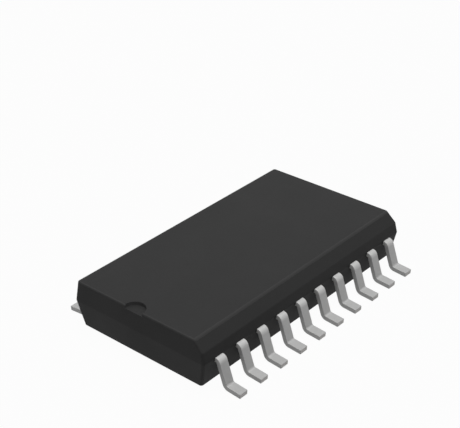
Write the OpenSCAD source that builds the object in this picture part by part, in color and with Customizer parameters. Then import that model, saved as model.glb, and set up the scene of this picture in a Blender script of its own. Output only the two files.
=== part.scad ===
// Surface-mount chip in a wide small-outline package with 20 gull-wing leads.
// Millimetres. The origin is the middle of the package on the board surface,
// X runs along the body away from the pin-1 notch, and Z points up.
// Lead 1 is at -X, -Y; the numbers run along -Y and come back along +Y.

/* [Body] */
// Length of the body at the parting line
body_length = 13.26; // [12.9:0.02:13.8]
// Width of the body at the parting line
body_width = 7.5; // [7.2:0.02:7.9]
// Height of the flat top above the board
top_height = 2.41; // [2.3:0.01:2.7]
// Gap between the board and the flat underside of the body
standoff = 0.2; // [0.1:0.01:0.3]
// Height of the parting line, which is also the top of the leads in the wall
parting_height = 1.45; // [1.3:0.01:1.55]
// Draft of the long walls above the parting line, in degrees
side_draft_top = 9; // [4:0.5:12]
// Draft of the long walls below the parting line, in degrees
side_draft_bottom = 13.5; // [6:0.5:18]
// Draft of the end walls, in degrees
end_draft = 5.5; // [3:0.5:10]
// Radius of the four upright corners
corner_radius = 0.12; // [0.05:0.01:0.25]
// Rounding of the edges of the top and bottom faces
edge_radius = 0.05; // [0.02:0.01:0.09]
// Leg of the 45 degree bevel along the pin-1 side of the top
bevel = 0.47; // [0.3:0.01:0.6]

/* [Pin-1 notch] */
// Radius of the half-round notch
notch_radius = 0.52; // [0.3:0.02:0.8]
// Depth of the notch below the top face
notch_depth = 0.15; // [0.08:0.01:0.3]
// How far the centre of the notch lies in from the top edge of the end
notch_inset = 0.04; // [0:0.01:0.1]

/* [Leads] */
// Distance between neighbouring leads
pitch = 1.27; // [1.2:0.01:1.29]
// Width of a lead outside the body
lead_width = 0.45; // [0.36:0.01:0.5]
// Thickness of the lead frame
lead_thickness = 0.22; // [0.18:0.01:0.26]
// Straight part of a lead between the parting line and the first bend
shoulder = 0.01; // [0.01:0.01:0.2]
// Inside radius of the bend at the shoulder
shoulder_bend = 0.02; // [0.02:0.01:0.12]
// Inside radius of the bend at the foot
foot_bend = 0.1; // [0.05:0.01:0.15]
// Lean of the leg from upright, in degrees
leg_lean = 17; // [5:1:22]
// Straight part of the foot
foot_length = 0.65; // [0.4:0.01:0.9]
// Slope of the foot down to its toe, in degrees
foot_slope = 5; // [0:0.5:8]

/* [Inner fingers] */
// Width of a finger where it is locked in the body
finger_width = 0.62; // [0.5:0.02:0.75]
// Width of a finger at its tip
finger_tip_width = 0.34; // [0.28:0.02:0.4]
// Depth behind the parting line at which a finger gets wider
lock_depth = 0.3; // [0.2:0.02:0.5]
// Length of the taper from the lead width to the finger width
lock_taper = 0.1; // [0.06:0.02:0.2]
// Gap between the finger tips and the paddle, seen from above
paddle_gap = 0.32; // [0.25:0.01:0.4]
// Spacing of the finger tips along the paddle
tip_spacing = 0.84; // [0.7:0.02:0.9]

/* [Paddle and tie bars] */
// Length of the die paddle
paddle_length = 4.6; // [4.3:0.05:4.9]
// Width of the die paddle
paddle_width = 3.2; // [3:0.05:3.4]
// Drop from the underside of the fingers to the top of the paddle
paddle_drop = 0.13; // [0.08:0.01:0.25]
// Width of the two tie bars
tie_width = 0.36; // [0.26:0.02:0.42]
// Length of a tie bar's flat part beside the paddle
tie_flat = 0.3; // [0.2:0.05:0.5]
// Length of a tie bar's sloping part
tie_slope = 0.45; // [0.4:0.05:0.8]
// Compound between a tie bar's end and the end of the body
tie_cover = 0.35; // [0.2:0.05:0.8]

/* [Die and wires] */
// Length of the die
die_length = 3.6; // [3.3:0.05:3.8]
// Width of the die
die_width = 2.4; // [2.2:0.05:2.6]
// Thickness of the die
die_thickness = 0.28; // [0.2:0.01:0.36]
// Thickness of the adhesive under the die
attach_thickness = 0.03; // [0.02:0.005:0.06]
// How far the adhesive shows all round the die
attach_margin = 0.06; // [0.02:0.01:0.12]
// Distance of the bond pads from the edge of the die
pad_inset = 0.15; // [0.1:0.01:0.25]
// Thickness of a bond wire across its flats
wire_thickness = 0.05; // [0.04:0.005:0.07]
// Rise of a wire above the straight line between its two ends
wire_rise = 0.36; // [0.25:0.01:0.5]
// Distance of a wire's landing place from the finger tip
landing = 0.14; // [0.1:0.01:0.2]

/* [Hidden] */

// The outline has ten leads along each side.
per_side = 10;
mid = (per_side + 1) / 2;
// Straight steps in a quarter of a rounded corner and of a rounded edge.
corner_steps = 5;
edge_steps = 3;
// Rings along a bond wire, and flats around it.
wire_rings = 10;
wire_flats = 6;
wire_radius = wire_thickness / 2 / cos(180 / wire_flats);

// Heights of the lead frame, paddle, adhesive and die.
lead_top = parting_height;
lead_base = lead_top - lead_thickness;
paddle_top = lead_base - paddle_drop;
paddle_base = paddle_top - lead_thickness;
attach_top = paddle_top + attach_thickness;
die_top = attach_top + die_thickness;

// Half sizes of the body's outline where a wall of the given draft reaches height z.
rise_top = top_height - parting_height;
rise_base = parting_height - standoff;
top_half_x = body_length / 2 - rise_top * tan(end_draft);
top_far_y = body_width / 2 - rise_top * tan(side_draft_top);
bevel_start = body_width / 2 - (rise_top - bevel) * tan(side_draft_top);
top_near_y = bevel_start - bevel;
base_half_x = body_length / 2 - rise_base * tan(end_draft);
base_half_y = body_width / 2 - rise_base * tan(side_draft_bottom);
notch_y = (top_far_y - top_near_y) / 2;

// The bends of a lead in its own side view: distance out from the middle, then height.
bend1 = [body_width / 2 + shoulder, lead_base - shoulder_bend];
bend_reach = shoulder_bend + lead_thickness + foot_bend;
heel_height = (lead_thickness + foot_bend) * cos(foot_slope) + foot_length * sin(foot_slope);
leg_length = (bend1.y - heel_height + bend_reach * sin(leg_lean)) / cos(leg_lean);
bend2 = bend1 + bend_reach * [cos(leg_lean), sin(leg_lean)]
      + leg_length * [sin(leg_lean), -cos(leg_lean)];

// Leads 1 to 10 lie along -Y, leads 11 to 20 come back along +Y.
function slot_of(n) = n <= per_side ? n : 2 * per_side + 1 - n;
function side_of(n) = n <= per_side ? -1 : 1;
function lead_x(n) = (slot_of(n) - mid) * pitch;
// 0 for the middle pair of a side, up to 4 for the end pair.
function rank(n) = floor(abs(slot_of(n) - mid));
function sign_x(n) = slot_of(n) < mid ? -1 : 1;

// The tips of six fingers face the long edge of the paddle, the other four its ends.
tip_y = paddle_width / 2 + paddle_gap + finger_tip_width / 2;
tip_x = paddle_length / 2 + paddle_gap + finger_tip_width / 2;
knee_y = body_width / 2 - lock_depth - lock_taper;
end_row = tie_width / 2 + paddle_gap / 2 + finger_tip_width / 2;
function finger_tip(n) =
    rank(n) < 3 ? [sign_x(n) * (rank(n) + 0.5) * tip_spacing, side_of(n) * tip_y]
  : rank(n) == 3 ? [sign_x(n) * tip_x, side_of(n) * (end_row + tip_spacing)]
  : [sign_x(n) * (tip_x + paddle_gap / 2), side_of(n) * end_row];
function finger_knee(n) =
    [lead_x(n), side_of(n) * (rank(n) < 3 ? knee_y - 0.3 * finger_width
                            : rank(n) == 3 ? knee_y - finger_width : knee_y - 2.6 * finger_width)];
function finger_path(n) = [
    [lead_x(n), side_of(n) * bend1.x],
    [lead_x(n), side_of(n) * (body_width / 2 - lock_depth)],
    [lead_x(n), side_of(n) * knee_y],
    finger_knee(n),
    finger_tip(n)
];
finger_widths = [lead_width, lead_width, finger_width, finger_width, finger_tip_width];

// A wire leaves its pad on the die and lands on its finger.
function pad_place(n) =
    rank(n) < 3 ? [sign_x(n) * (rank(n) + 0.5) * (die_length - 2 * pad_inset) / 5.6,
                   side_of(n) * (die_width / 2 - pad_inset)]
  : [sign_x(n) * (die_length / 2 - pad_inset),
     side_of(n) * (rank(n) == 3 ? 0.5 : 0.2) * (die_width - 2 * pad_inset) / 2];
function landing_place(n) =
    let (tip = finger_tip(n), back = unit(finger_knee(n) - tip)) tip + landing * back;

function unit(v) = v / norm(v);
function left(v) = [-v.y, v.x];
function backwards(list) = [for (k = [len(list) - 1:-1:0]) list[k]];
function towards(path, k) = unit(path[min(k + 1, len(path) - 1)] - path[min(k, len(path) - 2)]);
function from(path, k) = unit(path[max(k, 1)] - path[max(k - 1, 0)]);
// One edge of a strip that follows a path, with mitred corners.
function strip_edge(path, widths, side) = [
    for (k = [0:len(path) - 1])
        let (n = unit(left(from(path, k)) + left(towards(path, k))))
            path[k] + side * widths[k] / 2 / (n * left(from(path, k))) * n
];
function strip(path, widths) =
    concat(strip_edge(path, widths, 1), backwards(strip_edge(path, widths, -1)));

// The corners of a rounded rectangle at height z, anticlockwise.
function ring(half_x, near_y, far_y, r, z) = [
    for (c = [[half_x, far_y, 0], [-half_x, far_y, 90], [-half_x, -near_y, 180], [half_x, -near_y, 270]])
        for (k = [0:corner_steps])
            let (a = c.z + 90 * k / corner_steps)
                [c.x - r * sign(c.x) + r * cos(a), c.y - r * sign(c.y) + r * sin(a), z]
];
// A ring of the body at height z, drawn in by e for a rounded edge.
function body_ring(z, e) =
    z >= parting_height
    ? let (up = z - parting_height, over = max(0, z - (top_height - bevel)))
      ring(body_length / 2 - up * tan(end_draft) - e,
           body_width / 2 - (up - over) * tan(side_draft_top) - over - e,
           body_width / 2 - up * tan(side_draft_top) - e, corner_radius, z)
    : let (down = parting_height - z)
      ring(body_length / 2 - down * tan(end_draft) - e,
           body_width / 2 - down * tan(side_draft_bottom) - e,
           body_width / 2 - down * tan(side_draft_bottom) - e, corner_radius, z);
// Heights and insets of the rounded edge at a flat face, from the wall to the face.
function edge_steps_at(z, up) = [
    for (k = [0:edge_steps])
        let (a = 90 * k / edge_steps)
            [z - up * edge_radius * (1 - sin(a)), edge_radius * (1 - cos(a))]
];

// A solid through a stack of rings with the same number of points.
module loft(rings) {
    n = len(rings[0]);
    m = len(rings);
    polyhedron(
        points = [for (r = rings) for (p = r) p],
        faces = concat(
            [[for (k = [0:n - 1]) k]],
            [for (j = [0:m - 2]) for (k = [0:n - 1])
                [j * n + k, (j + 1) * n + k, (j + 1) * n + (k + 1) % n, j * n + (k + 1) % n]],
            [[for (k = [n - 1:-1:0]) (m - 1) * n + k]]
        )
    );
}

// The outside of the moulded body, without the spaces for what is inside it.
module moulding() {
    levels = concat(
        backwards(edge_steps_at(standoff, -1)),
        [[parting_height, 0], [top_height - bevel, 0]],
        edge_steps_at(top_height, 1)
    );
    difference() {
        loft([for (l = levels) body_ring(l[0], l[1])]);
        translate([-top_half_x + notch_inset, notch_y, top_height - notch_depth])
            cylinder(r = notch_radius, h = notch_depth + 1, $fn = 64);
    }
}

// The flat part of a lead: its finger inside the body and its straight shoulder.
module finger(n) {
    translate([0, 0, lead_base])
        linear_extrude(height = lead_thickness)
            polygon(strip(finger_path(n), finger_widths));
}

// What a rounded bend takes off the sharp corner of the strip: all beyond its outside radius.
module bend_outside(centre, inside, start, turn) {
    far = 3 * (inside + lead_thickness);
    translate(centre)
        difference() {
            polygon([[0, 0], for (a = [start, start + turn / 2, start + turn]) far * [cos(a), sin(a)]]);
            circle(r = inside + lead_thickness, $fn = 64);
        }
}

// The metal that a rounded bend has inside the sharp corner, before its hollow is cut.
module bend_inside(centre, inside, start, turn) {
    middle = inside + lead_thickness / 2;
    translate(centre)
        polygon([[0, 0], for (a = [start, start + turn]) middle * [cos(a), sin(a)]]);
}

// Where the middle line of the strip would turn if the bend round this centre were sharp.
function bend_corner(centre, inside, start, turn) =
    centre + (inside + lead_thickness / 2) / cos(turn / 2) * [cos(start + turn / 2), sin(start + turn / 2)];

// The side view of a lead from behind the parting line to its foot: distance out, then height.
module wing_outline() {
    shoulder_turn = 90 - leg_lean;
    foot_turn = shoulder_turn - foot_slope;
    corner1 = bend_corner(bend1, shoulder_bend, leg_lean, shoulder_turn);
    corner2 = bend_corner(bend2, foot_bend, 180 + leg_lean, foot_turn);
    toe = bend2 - (foot_bend + lead_thickness / 2) * [sin(foot_slope), cos(foot_slope)]
        + foot_length * [cos(foot_slope), -sin(foot_slope)];
    difference() {
        union() {
            polygon(strip([[body_width / 2 - lock_depth, corner1.y], corner1, corner2, toe],
                          [for (k = [0:3]) lead_thickness]));
            bend_inside(bend1, shoulder_bend, leg_lean, shoulder_turn);
            bend_inside(bend2, foot_bend, 180 + leg_lean, foot_turn);
        }
        bend_outside(bend1, shoulder_bend, leg_lean, shoulder_turn);
        bend_outside(bend2, foot_bend, 180 + leg_lean, foot_turn);
        translate(bend1) circle(r = shoulder_bend, $fn = 64);
        translate(bend2) circle(r = foot_bend, $fn = 64);
    }
}

// The gull wing, drawn for a lead that points to +Y at X = 0.
module gull_wing() {
    translate([-lead_width / 2, 0, 0])
        rotate([90, 0, 90])
            linear_extrude(height = lead_width)
                wing_outline();
}

// One whole lead, from its finger tip to its foot.
module lead(n) {
    color([0.74, 0.74, 0.73]) {
        finger(n);
        translate([lead_x(n), 0, 0])
            mirror([0, side_of(n) < 0 ? 1 : 0, 0])
                gull_wing();
    }
}

module die_paddle() {
    bar = tie_flat + tie_slope;
    end_x = body_length / 2 - tie_cover;
    low = (paddle_base + paddle_top) / 2;
    high = (lead_base + lead_top) / 2;
    color([0.72, 0.45, 0.3]) {
        translate([-paddle_length / 2, -paddle_width / 2, paddle_base])
            cube([paddle_length, paddle_width, lead_thickness]);
        for (s = [-1, 1])
            translate([0, tie_width / 2, 0])
                rotate([90, 0, 0])
                    linear_extrude(height = tie_width)
                        polygon(strip([
                            [s * (paddle_length / 2 - tie_flat), low],
                            [s * (paddle_length / 2 + tie_flat), low],
                            [s * (paddle_length / 2 + bar), high],
                            [s * end_x, high]
                        ], [for (k = [0:3]) lead_thickness]));
    }
}

module die_attach() {
    color([0.8, 0.8, 0.78])
        translate([-die_length / 2 - attach_margin, -die_width / 2 - attach_margin, paddle_top])
            cube([die_length + 2 * attach_margin, die_width + 2 * attach_margin, attach_thickness]);
}

module die() {
    color([0.3, 0.33, 0.4])
        translate([-die_length / 2, -die_width / 2, attach_top])
            cube([die_length, die_width, die_thickness]);
}

// A bond wire: half an ellipse from the die up and over to the finger.
module bond_wire(n) {
    a = pad_place(n);
    b = landing_place(n);
    run = norm(b - a);
    dir = unit(b - a);
    across = left(dir);
    fall = lead_top - die_top;
    color([0.85, 0.68, 0.32])
        loft([
            for (j = [0:wire_rings - 1])
                let (t = 180 * j / (wire_rings - 1),
                     s = (1 - cos(t)) / 2,
                     c = [a.x + s * run * dir.x, a.y + s * run * dir.y,
                          die_top + s * fall + wire_rise * sin(t)],
                     v = unit([run / 2 * sin(t), fall / 2 * sin(t) + wire_rise * cos(t)]),
                     up = [-v.y * dir.x, -v.y * dir.y, v.x])
                    [for (k = [0:wire_flats - 1])
                        let (q = 360 * k / wire_flats)
                            c + wire_radius * (cos(q) * [across.x, across.y, 0] - sin(q) * up)]
        ]);
}

module body() {
    color([0.23, 0.23, 0.23])
        difference() {
            moulding();
            for (n = [1:2 * per_side]) finger(n);
            die_paddle();
            die_attach();
            die();
            for (n = [1:2 * per_side]) bond_wire(n);
        }
}

body();
die_paddle();
die_attach();
die();
lead(1);  // lead_01
lead(2);  // lead_02
lead(3);  // lead_03
lead(4);  // lead_04
lead(5);  // lead_05
lead(6);  // lead_06
lead(7);  // lead_07
lead(8);  // lead_08
lead(9);  // lead_09
lead(10);  // lead_10
lead(11);  // lead_11
lead(12);  // lead_12
lead(13);  // lead_13
lead(14);  // lead_14
lead(15);  // lead_15
lead(16);  // lead_16
lead(17);  // lead_17
lead(18);  // lead_18
lead(19);  // lead_19
lead(20);  // lead_20
bond_wire(1);  // bond_wire_01
bond_wire(2);  // bond_wire_02
bond_wire(3);  // bond_wire_03
bond_wire(4);  // bond_wire_04
bond_wire(5);  // bond_wire_05
bond_wire(6);  // bond_wire_06
bond_wire(7);  // bond_wire_07
bond_wire(8);  // bond_wire_08
bond_wire(9);  // bond_wire_09
bond_wire(10);  // bond_wire_10
bond_wire(11);  // bond_wire_11
bond_wire(12);  // bond_wire_12
bond_wire(13);  // bond_wire_13
bond_wire(14);  // bond_wire_14
bond_wire(15);  // bond_wire_15
bond_wire(16);  // bond_wire_16
bond_wire(17);  // bond_wire_17
bond_wire(18);  // bond_wire_18
bond_wire(19);  // bond_wire_19
bond_wire(20);  // bond_wire_20
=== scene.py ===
import math

import bmesh
import bpy
from mathutils import Matrix, Vector


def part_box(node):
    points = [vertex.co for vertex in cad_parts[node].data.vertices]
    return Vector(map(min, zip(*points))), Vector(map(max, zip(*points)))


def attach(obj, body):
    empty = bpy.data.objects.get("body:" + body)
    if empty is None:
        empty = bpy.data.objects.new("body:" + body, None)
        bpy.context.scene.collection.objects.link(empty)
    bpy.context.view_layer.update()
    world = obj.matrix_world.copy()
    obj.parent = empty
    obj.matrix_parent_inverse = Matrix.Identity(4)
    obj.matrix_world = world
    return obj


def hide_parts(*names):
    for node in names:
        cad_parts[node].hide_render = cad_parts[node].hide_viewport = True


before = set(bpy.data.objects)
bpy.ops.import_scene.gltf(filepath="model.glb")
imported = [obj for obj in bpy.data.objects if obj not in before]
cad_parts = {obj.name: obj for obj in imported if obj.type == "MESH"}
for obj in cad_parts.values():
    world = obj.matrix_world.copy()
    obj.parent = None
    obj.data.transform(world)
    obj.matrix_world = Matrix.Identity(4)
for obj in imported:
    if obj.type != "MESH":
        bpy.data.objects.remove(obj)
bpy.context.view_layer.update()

# The camera looks down on the pin-1 end and the long side with leads 1 to 10,
# through a long lens, and is turned a little about its own line of sight.
aim = Vector((3.34, 3.74, 1.2))
distance = 58.16
azimuth, elevation, roll = math.radians(-137.25), math.radians(29.66), math.radians(2.22)
lens_length, sensor_width = 94.3, 36
millimetre = 0.001

back = Vector((math.cos(elevation) * math.cos(azimuth),
               math.cos(elevation) * math.sin(azimuth),
               math.sin(elevation)))
level = Vector((0, 0, 1)).cross(back).normalized()
upright = back.cross(level)
across = math.cos(roll) * level - math.sin(roll) * upright
above = math.cos(roll) * upright + math.sin(roll) * level
bpy.ops.object.camera_add()
camera = bpy.context.object
camera.matrix_world = (Matrix.Translation((aim + distance * back) * millimetre)
                       @ Matrix((across, above, back)).transposed().to_4x4())
camera.data.sensor_fit = "HORIZONTAL"
camera.data.sensor_width = sensor_width
camera.data.lens = lens_length
camera.data.clip_start = 0.001
camera.data.clip_end = 20
bpy.context.scene.camera = camera

# The body is black epoxy compound, moulded round the lead frame in a split tool.
# Its walls slope in from the parting line, the top has a 45 degree bevel along
# the side of lead 1, and a half-round notch marks the end of lead 1.
body_low, body_high = [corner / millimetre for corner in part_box("body")]
parting_height = 1.45
end_draft = math.radians(5.5)
side_draft_top, side_draft_base = math.radians(9), math.radians(13.5)
bevel_leg = 0.47
corner_radius, corner_steps = 0.12, 8
rim_radius, seam_radius, rounding_steps = 0.05, 0.03, 3
same_place = 1e-4
notch_radius, notch_depth, notch_inset = 0.52, 0.15, 0.04
compound_black = (0.017, 0.017, 0.017, 1)
compound_worn = (0.026, 0.026, 0.026, 1)
compound_edge_highlight = (0.042, 0.042, 0.042, 1)
highlight_width, highlight_fray_width, highlight_share = 0.07, 0.05, 0.7

bevel_start = body_high.z - bevel_leg
rise_top, rise_base = body_high.z - parting_height, parting_height - body_low.z
base_half = Vector((body_high.x - rise_base * math.tan(end_draft),
                    body_high.y - rise_base * math.tan(side_draft_base)))
wall_half = Vector((body_high.x - (rise_top - bevel_leg) * math.tan(end_draft),
                    body_high.y - (rise_top - bevel_leg) * math.tan(side_draft_top)))
top_half_x = body_high.x - rise_top * math.tan(end_draft)
top_far = body_high.y - rise_top * math.tan(side_draft_top)
top_near = wall_half.y - bevel_leg
notch_place = Vector((-top_half_x + notch_inset, (top_far - top_near) / 2))


class Shade:
    """A shader value: the signs of arithmetic add Math nodes, and make adds any other node."""

    def __init__(self, tree, socket=None):
        self.tree, self.socket = tree, socket

    def make(self, kind, sockets=(), out=0, stops=(), **settings):
        """Adds a node, gives it its settings, its ramp's stops and its sockets, and returns one output."""
        node = self.tree.nodes.new("ShaderNode" + kind)
        for name, value in settings.items():
            setattr(node, name, value)
        for number, (position, colour) in enumerate(stops):
            stop = node.color_ramp.elements[number] if number < 2 else node.color_ramp.elements.new(position)
            stop.position, stop.color = position, colour
        for name, value in dict(sockets).items():
            if isinstance(value, Shade):
                self.tree.links.new(value.socket, node.inputs[name])
            else:
                node.inputs[name].default_value = value
        return Shade(self.tree, node.outputs[out] if len(node.outputs) else None)

    def maths(self, operation, *values):
        return self.make("Math", enumerate(values), operation=operation)

    def __add__(self, other):
        return self.maths("ADD", self, other)

    def __radd__(self, other):
        return self.maths("ADD", other, self)

    def __sub__(self, other):
        return self.maths("SUBTRACT", self, other)

    def __rsub__(self, other):
        return self.maths("SUBTRACT", other, self)

    def __mul__(self, other):
        return self.maths("MULTIPLY", self, other)

    def __rmul__(self, other):
        return self.maths("MULTIPLY", other, self)

    def __gt__(self, other):
        return self.maths("GREATER_THAN", self, other)

    def blend(self, low, high):
        """A colour from low to high, by this value."""
        return self.make("Mix", {0: self, 6: low, 7: high}, out=2, data_type="RGBA")


def new_finish(name):
    """A material without nodes yet, and the place on the piece that its patterns read."""
    material = bpy.data.materials.new(name)
    material.use_nodes = True
    material.node_tree.nodes.clear()
    return material, Shade(material.node_tree).make("TexCoord", out="Object")


def edit(piece):
    """Goes into edit mode on one piece alone, with nothing of its mesh selected."""
    bpy.ops.object.select_all(action="DESELECT")
    piece.select_set(True)
    bpy.context.view_layer.objects.active = piece
    bpy.ops.object.mode_set(mode="EDIT")
    bpy.ops.mesh.select_mode(type="FACE")
    bpy.ops.mesh.select_all(action="DESELECT")


def choose(kind, wanted):
    """Selects the edges or faces all of whose corners lie where wanted says."""
    bpy.ops.mesh.select_all(action="DESELECT")
    bpy.ops.mesh.select_mode(type={"edges": "EDGE", "faces": "FACE"}[kind])
    mesh = bmesh.from_edit_mesh(bpy.context.edit_object.data)
    for item in getattr(mesh, kind):
        item.select_set(all(wanted(corner.co) for corner in item.verts))
    mesh.select_flush_mode()
    bmesh.update_edit_mesh(bpy.context.edit_object.data)


def at(height):
    """Says whether a corner lies at that height."""
    return lambda corner: abs(corner.z - height) < same_place


def extrude(step):
    bpy.ops.mesh.extrude_region_move(TRANSFORM_OT_translate={"value": step})


def resize(x, y, z=1, centre=(0, 0, 0)):
    bpy.ops.transform.resize(value=(x, y, z), center_override=centre)


def modify(piece, kind, **settings):
    """Adds a modifier to a piece and applies it."""
    modifier = piece.modifiers.new(kind.lower(), kind)
    for name, value in settings.items():
        setattr(modifier, name, value)
    bpy.context.view_layer.objects.active = piece
    bpy.ops.object.modifier_apply(modifier=modifier.name)


def to_metres(piece):
    """Closes a piece that was modelled in millimetres: normals outwards, smooth, and at its real size."""
    edit(piece)
    bpy.ops.mesh.select_all(action="SELECT")
    bpy.ops.mesh.normals_make_consistent(inside=False)
    bpy.ops.object.mode_set(mode="OBJECT")
    bpy.ops.object.shade_smooth()
    modify(piece, "WEIGHTED_NORMAL", keep_sharp=False, weight=100)
    piece.scale = (millimetre, millimetre, millimetre)
    bpy.ops.object.transform_apply(location=True, rotation=True, scale=True)


bpy.ops.object.select_all(action="DESELECT")
bpy.ops.mesh.primitive_plane_add(size=2)
body = bpy.context.object
body.name = "moulded_body"
edit(body)
bpy.ops.mesh.select_all(action="SELECT")
resize(base_half.x, base_half.y)
bpy.ops.transform.translate(value=(0, 0, body_low.z))
bpy.ops.mesh.select_mode(type="VERT")
bpy.ops.mesh.bevel(offset=corner_radius, segments=corner_steps, affect="VERTICES")
choose("faces", at(body_low.z))
extrude((0, 0, rise_base))
resize(body_high.x / base_half.x, body_high.y / base_half.y)
extrude((0, 0, bevel_start - parting_height))
resize(wall_half.x / body_high.x, wall_half.y / body_high.y)
extrude((0, 0, bevel_leg))
resize(top_half_x / wall_half.x, (top_far + top_near) / 2 / wall_half.y)
bpy.ops.transform.translate(value=(0, (top_far - top_near) / 2, 0))
for height, radius in ((body_low.z, rim_radius), (parting_height, seam_radius), (body_high.z, rim_radius)):
    choose("edges", at(height))
    bpy.ops.mesh.bevel(offset=radius, segments=rounding_steps, affect="EDGES")
choose("edges", lambda corner: abs(corner.z - bevel_start) < same_place and corner.y < 0)
bpy.ops.mesh.bevel(offset=seam_radius, segments=rounding_steps, affect="EDGES")
bpy.ops.object.mode_set(mode="OBJECT")

bpy.ops.mesh.primitive_cylinder_add(
    vertices=64, radius=notch_radius, depth=1,
    location=(notch_place.x, notch_place.y, body_high.z - notch_depth + 0.5))
notch_cutter = bpy.context.object
modify(body, "BOOLEAN", operation="DIFFERENCE", object=notch_cutter, solver="EXACT")
bpy.data.objects.remove(notch_cutter)
to_metres(body)

compound, place = new_finish("moulding_compound")
cloud = place.make("TexNoise", {"Vector": place, "Scale": 420, "Detail": 3, "Roughness": 0.55})
grain = place.make("TexNoise", {"Vector": place, "Scale": 9000, "Detail": 3, "Roughness": 0.6})
filler = place.make("TexVoronoi", {"Vector": place, "Scale": 14000})
relief = place.make("Bump", {
    "Strength": 0.5, "Distance": 6e-6, "Height": 0.7 * grain + 0.3 * filler}, out="Normal")
x, y, z = [place.make("SeparateXYZ", {"Vector": place}, out=axis) for axis in "XYZ"]
# A ragged strip along the top face's outer edges is painted lighter. This is a painted highlight where the
# rounded top edges catch the light.
fray = highlight_fray_width * millimetre * (grain - 0.5)


def beyond(value, limit):
    """1 where a value passes a limit in millimetres, less the ragged width of the painted highlight strip
    along the top edges.
    """
    return value + fray > (limit - highlight_width) * millimetre


side_rims = y.maths("MAXIMUM", beyond(y, top_far), beyond(-1 * y, top_near))
end_rims = beyond(x.maths("ABSOLUTE", x), top_half_x)
painted_rim_highlight = beyond(z, body_high.z) * x.maths("MAXIMUM", side_rims, end_rims)
dust = (0.5 * cloud + 0.5 * grain).blend(compound_black, compound_worn)
skin = place.make("BsdfPrincipled", {
    "Base Color": (highlight_share * painted_rim_highlight).blend(dust, compound_edge_highlight),
    "Roughness": 0.62 + 0.16 * cloud,
    "Specular IOR Level": 0.2,
    "Normal": relief})
place.make("OutputMaterial", {"Surface": skin})
body.data.materials.clear()
body.data.materials.append(compound)
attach(body, "root")
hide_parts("body")

# The twenty leads are stamped from copper alloy strip, plated with matt tin, and
# formed into gull wings. Each has a finger inside the body, which is wider than
# the lead so that the compound holds it. The second row is the first, turned round.
per_row = 10
pitch, lead_width, lead_thickness = 1.27, 0.45, 0.22
shoulder, shoulder_bend, foot_bend = 0.01, 0.02, 0.1
lean, foot_slope = math.radians(17), math.radians(5)
foot_length = 0.65
stamped_edge = 0.025
bend_steps = 8
cut_depth = 0.004
lock_depth, lock_taper = 0.3, 0.1
finger_width, finger_tip_width = 0.62, 0.34
tip_spacing, paddle_gap, tie_width = 0.84, 0.32, 0.36
paddle_length, paddle_width = 4.6, 3.2
tip_half = Vector((paddle_length, paddle_width)) / 2 + Vector((1, 1)) * (paddle_gap + finger_tip_width / 2)
end_row = tie_width / 2 + paddle_gap / 2 + finger_tip_width / 2
tin_grey = (0.455, 0.455, 0.451, 1)
tin_bright = (0.54, 0.54, 0.535, 1)
tin_painted_highlight = (0.62, 0.62, 0.613, 1)
highlight_start_drop, highlight_fade_height = 0.16, 0.1
cut_copper = (0.60, 0.583, 0.566, 1)

lead_top = parting_height
lead_middle = lead_top - lead_thickness / 2
neck = body_high.y - lock_depth
shoulder_turn = math.pi / 2 - lean
foot_turn = shoulder_turn - foot_slope
bend_one = Vector((body_high.y + shoulder, lead_top - lead_thickness - shoulder_bend))
reach = shoulder_bend + lead_thickness + foot_bend
foot_step = foot_length * Vector((math.cos(foot_slope), -math.sin(foot_slope)))
heel_height = (lead_thickness + foot_bend) * math.cos(foot_slope) - foot_step.y
leg_length = (bend_one.y - heel_height + reach * math.sin(lean)) / math.cos(lean)
leg_step = leg_length * Vector((math.sin(lean), -math.cos(lean)))
bend_two = bend_one + reach * Vector((math.cos(lean), math.sin(lean))) + leg_step
toe_reach = bend_two.x * math.cos(foot_slope) - bend_two.y * math.sin(foot_slope) + foot_length


def turn_in_plan(angle, centre):
    """Turns what is selected anticlockwise in plan about a centre."""
    bpy.ops.transform.rotate(value=-angle, orient_axis="Z", center_override=centre)


bpy.ops.object.select_all(action="DESELECT")
bpy.ops.mesh.primitive_plane_add(size=1, rotation=(math.pi / 2, 0, 0), location=(0, -neck, lead_middle))
wing = bpy.context.object
bpy.ops.object.transform_apply(location=True, rotation=True, scale=True)
edit(wing)
bpy.ops.mesh.select_all(action="SELECT")
resize(lead_width, 1, lead_thickness, (0, -neck, lead_middle))
extrude((0, neck - body_high.y, 0))
extrude((0, -shoulder, 0))
bpy.ops.mesh.spin(steps=bend_steps, angle=-shoulder_turn,
                  center=(0, -bend_one.x, bend_one.y), axis=(1, 0, 0))
extrude((0, -leg_step.x, leg_step.y))
bpy.ops.mesh.spin(steps=bend_steps, angle=foot_turn,
                  center=(0, -bend_two.x, bend_two.y), axis=(1, 0, 0))
extrude((0, -foot_step.x, foot_step.y))
bpy.ops.object.mode_set(mode="OBJECT")

tin, place = new_finish("matt_tin")
outward = place.make("SeparateXYZ", {"Vector": place}, out="Y")
height = place.make("SeparateXYZ", {"Vector": place}, out="Z")
along_foot = math.cos(foot_slope) * outward.maths("ABSOLUTE", outward) - math.sin(foot_slope) * height
tip_face = along_foot > (toe_reach - cut_depth) * millimetre
crystals = place.make("TexNoise", {"Vector": place, "Scale": 12000, "Detail": 3, "Roughness": 0.65})
streaks = place.make("TexNoise", {"Vector": place, "Scale": 2200, "Detail": 2})
matt = (0.5 * crystals + 0.5 * streaks).blend(tin_grey, tin_bright)
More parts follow.
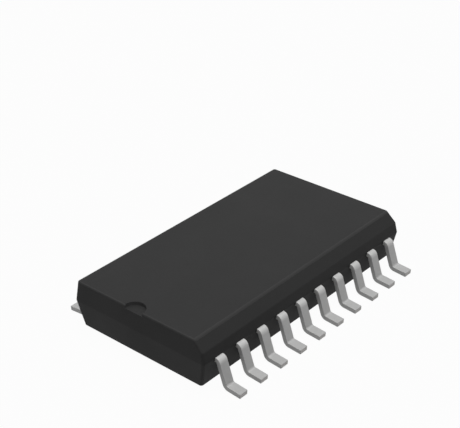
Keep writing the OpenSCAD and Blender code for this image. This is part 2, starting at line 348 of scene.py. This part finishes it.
# From just below the top of the lead upwards, the tin is painted lighter. This is a painted highlight on the
# shoulders, which face the lamp.
highlight_bottom = (lead_top - highlight_start_drop - highlight_fade_height) * millimetre
highlight_top = (lead_top - highlight_start_drop) * millimetre
shoulder_lightening = height.make("MapRange", {0: height, 1: highlight_bottom, 2: highlight_top})
plating_and_highlight = shoulder_lightening.blend(matt, tin_painted_highlight)
relief = place.make("Bump", {"Strength": 0.4, "Distance": 3e-6, "Height": crystals}, out="Normal")
skin = place.make("BsdfPrincipled", {
    "Base Color": tip_face.blend(plating_and_highlight, cut_copper),
    "Metallic": 0.12,
    "Roughness": 0.42 + 0.18 * crystals,
    "Normal": relief})
place.make("OutputMaterial", {"Surface": skin})

for number in range(1, per_row + 1):
    slot = number - (per_row + 1) / 2
    rank, hand = int(abs(slot)), math.copysign(1, slot)
    lead_x = slot * pitch
    knee_y = neck - lock_taper
    if rank < 3:
        tip = Vector((hand * (rank + 0.5) * tip_spacing, -tip_half.y))
        knee = Vector((lead_x, 0.3 * finger_width - knee_y))
    elif rank == 3:
        tip = Vector((hand * tip_half.x, -end_row - tip_spacing))
        knee = Vector((lead_x, finger_width - knee_y))
    else:
        tip = Vector((hand * (tip_half.x + paddle_gap / 2), -end_row))
        knee = Vector((lead_x, 2.6 * finger_width - knee_y))
    path = [Vector((lead_x, -neck)), Vector((lead_x, -knee_y)), knee, tip]
    widths = [lead_width, finger_width, finger_width, finger_tip_width]

    lead = wing.copy()
    lead.data = wing.data.copy()
    lead.name = f"tinned_lead_{number:02d}"
    bpy.context.collection.objects.link(lead)
    edit(lead)
    bpy.ops.mesh.select_all(action="SELECT")
    bpy.ops.transform.translate(value=(lead_x, 0, 0))
    choose("faces", lambda corner: abs(corner.y + neck) < same_place)
    heading, face_width = math.pi / 2, lead_width
    for step in range(1, len(path)):
        way = (path[step] - path[step - 1]).normalized()
        following = (path[min(step + 1, len(path) - 1)] - path[min(step, len(path) - 2)]).normalized()
        mitre = (way + following).normalized()
        centre = (path[step].x, path[step].y, lead_middle)
        new_width = widths[step] / mitre.dot(way)
        new_heading = math.atan2(mitre.y, mitre.x)
        move = path[step] - path[step - 1]
        extrude((move.x, move.y, 0))
        resize(new_width / face_width, new_width / face_width, 1, centre)
        turn_in_plan(new_heading - heading, centre)
        heading, face_width = new_heading, new_width
    bpy.ops.object.mode_set(mode="OBJECT")
    modify(lead, "BEVEL", width=stamped_edge, segments=2,
           limit_method="ANGLE", angle_limit=math.radians(35))
    to_metres(lead)
    lead.data.materials.clear()
    lead.data.materials.append(tin)

    partner = lead.copy()
    partner.data = lead.data.copy()
    partner.name = f"tinned_lead_{number + per_row:02d}"
    bpy.context.collection.objects.link(partner)
    partner.rotation_euler = (0, 0, math.pi)
    bpy.ops.object.select_all(action="DESELECT")
    partner.select_set(True)
    bpy.context.view_layer.objects.active = partner
    bpy.ops.object.transform_apply(location=True, rotation=True, scale=True)
    for piece, place_number in ((lead, number), (partner, number + per_row)):
        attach(piece, "root")
        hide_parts(f"lead_{place_number:02d}")
bpy.data.objects.remove(wing)

# Inside the compound a bare copper paddle carries the silicon die on silver-filled
# adhesive, and twenty gold wires run from the die to the fingers. They keep the
# shapes of the frame and take the finish of what they are made of.
inner_finishes = {
    "copper_frame": (("die_paddle",), (0.58, 0.33, 0.22, 1), (0.72, 0.44, 0.31, 1), 1.0, 0.34, 6000),
    "die_adhesive": (("die_attach",), (0.52, 0.52, 0.50, 1), (0.66, 0.66, 0.63, 1), 0.3, 0.55, 20000),
    "silicon": (("die",), (0.10, 0.11, 0.14, 1), (0.20, 0.21, 0.26, 1), 0.5, 0.16, 5000),
    "gold_wire": (tuple(f"bond_wire_{number:02d}" for number in range(1, 2 * per_row + 1)),
                  (0.83, 0.60, 0.22, 1), (0.95, 0.74, 0.36, 1), 1.0, 0.22, 15000),
}
for finish_name, (names, dull, bright, metallic, roughness, fineness) in inner_finishes.items():
    metal, place = new_finish(finish_name)
    mottle = place.make("TexNoise", {"Vector": place, "Scale": fineness, "Detail": 3})
    relief = place.make("Bump", {"Strength": 0.3, "Distance": 2e-6, "Height": mottle}, out="Normal")
    skin = place.make("BsdfPrincipled", {
        "Base Color": mottle.blend(dull, bright),
        "Metallic": metallic,
        "Roughness": roughness + 0.12 * mottle,
        "Normal": relief})
    place.make("OutputMaterial", {"Surface": skin})
    for name in names:
        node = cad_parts[name]
        node.data.materials.clear()
        node.data.materials.append(metal)

# The chip stands on a white table in front of a white room, under one soft lamp
# that hangs above it. The table keeps a faint part of the chip's shadow.
table_half, table_glow, table_paint = 3.0, 0.965, (0.42, 0.42, 0.42, 1)
lamp_place, lamp_size, lamp_power = (0, -0.03, 0.30), 0.20, 0.70
room_light = 0.12


def seen_directly(shade):
    """1 for the rays that show a background: from the camera, and by way of gloss or glass."""
    found = [shade.make("LightPath", out=f"Is {kind} Ray") for kind in ("Camera", "Glossy", "Transmission")]
    return shade.maths("MAXIMUM", found[0], shade.maths("MAXIMUM", found[1], found[2]))


bpy.ops.mesh.primitive_plane_add(size=2 * table_half)
table = bpy.context.object
table.name = "table"
table_white, place = new_finish("table_white")
shown = seen_directly(place)
paint = place.make("BsdfDiffuse", {"Color": table_paint})
glow = place.make("Emission", {"Color": (1, 1, 1, 1), "Strength": 1.0})
table_skin = place.make("MixShader", {0: table_glow * shown, 1: paint, 2: glow})
place.make("OutputMaterial", {"Surface": table_skin})
table.data.materials.append(table_white)

world = bpy.data.worlds.new("white_room")
bpy.context.scene.world = world
world.use_nodes = True
world.node_tree.nodes.clear()
room = Shade(world.node_tree)
strength = room_light + (1 - room_light) * seen_directly(room)
room.make("OutputWorld", {"Surface": room.make("Background", {"Color": (1, 1, 1, 1), "Strength": strength})})

bpy.ops.object.light_add(type="AREA", location=lamp_place)
lamp = bpy.context.object
lamp.name = "soft_lamp"
lamp.data.size = lamp_size
lamp.data.energy = lamp_power
bpy.context.scene.view_settings.view_transform = "Standard"
